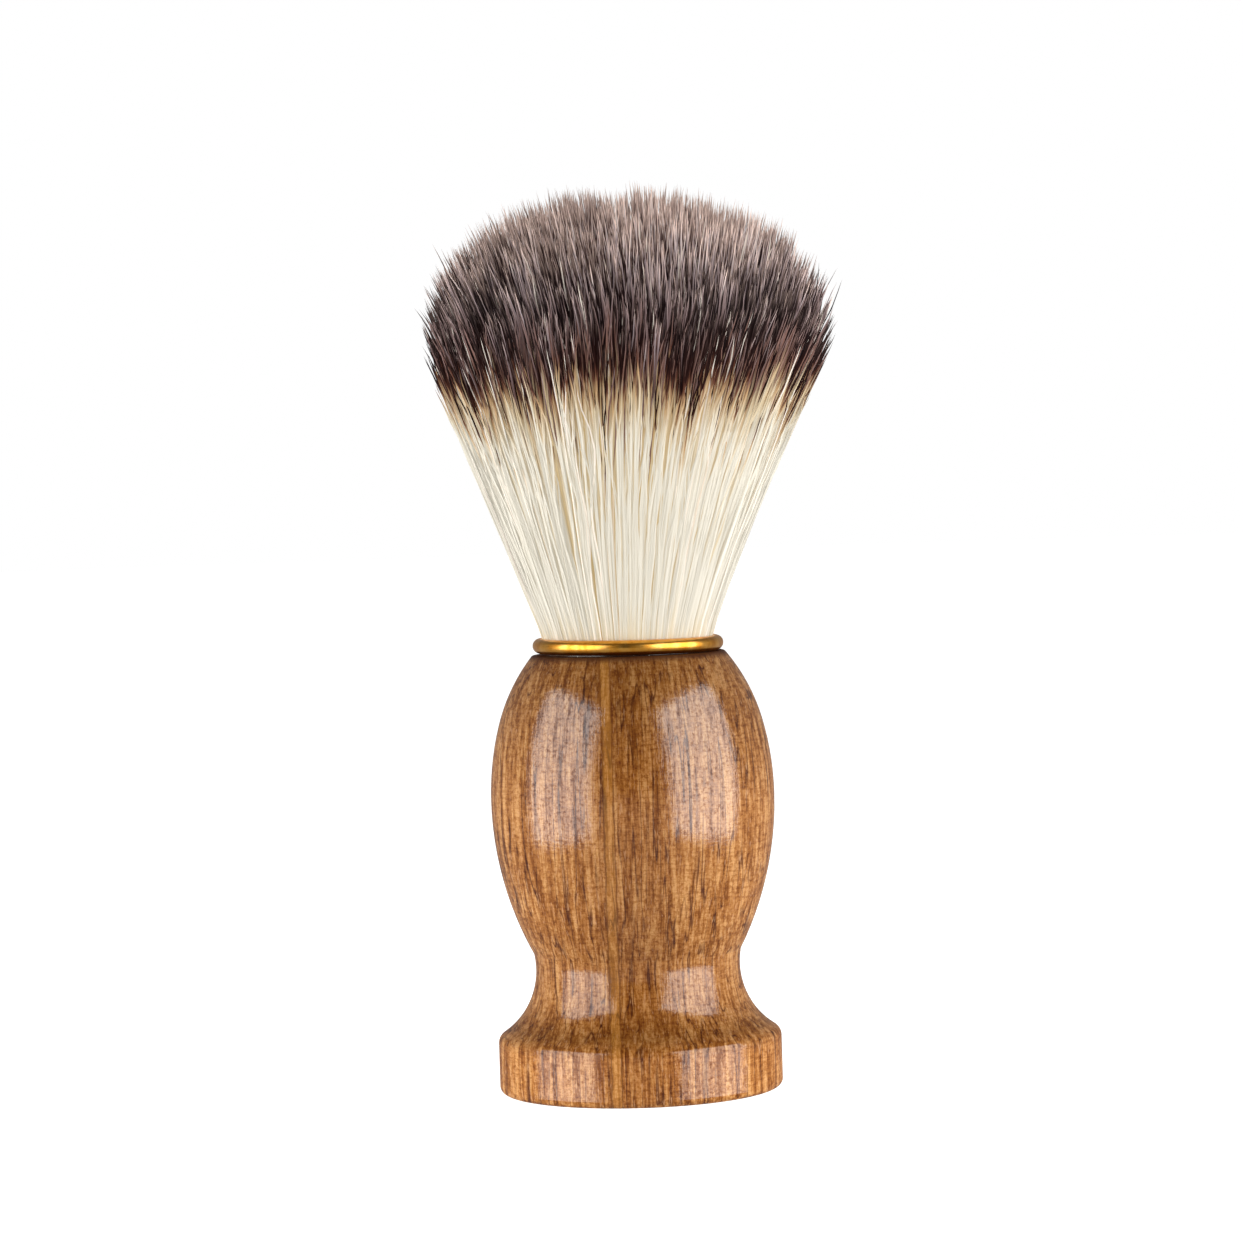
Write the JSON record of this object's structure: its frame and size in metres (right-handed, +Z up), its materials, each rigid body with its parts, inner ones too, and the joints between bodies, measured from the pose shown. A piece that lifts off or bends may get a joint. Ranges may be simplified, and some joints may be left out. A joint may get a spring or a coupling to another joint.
{
  "type": "shaving brush",
  "caption": "Shaving brush: turned wooden handle with a bulb, cove and flat foot, a metal wire collar and a flaring domed knot of fibres that bends in use.",
  "frame": {"origin": "centre of the handle's flat base", "axes": "+Z up along the handle's axis to the fibre tips, +X to the right and -Y towards the viewer of the front view"},
  "size_m": [0.0484, 0.0484, 0.105],
  "materials": {
    "lacquered_wood": "gloss",
    "epoxy": "gloss",
    "cast_resin": "satin",
    "tying_thread": "matte",
    "gold_coloured_metal": "polished",
    "pale_fibres": "matte",
    "banded_fibres": "matte"
  },
  "bodies": {
    "handle": {"handle_body": "lacquered_wood", "socket_adhesive": "epoxy", "knot_plug": "cast_resin", "binding_thread": "tying_thread", "collar_ring": "gold_coloured_metal", "fibre_root": "pale_fibres", "fibre_bending_zone": "pale_fibres"},
    "knot_crown": {"fibre_crown": "banded_fibres"}
  },
  "joints": [
    {"name": "knot_flex", "type": "hinge", "parent": "handle", "child": "knot_crown", "pos_m": [0, 0, 0.066], "axis": [0, 1, 0], "range_deg": [-25, 25], "stiffness_Nm_per_rad": 0.12, "deforming": ["fibre_bending_zone"]}
  ]
}
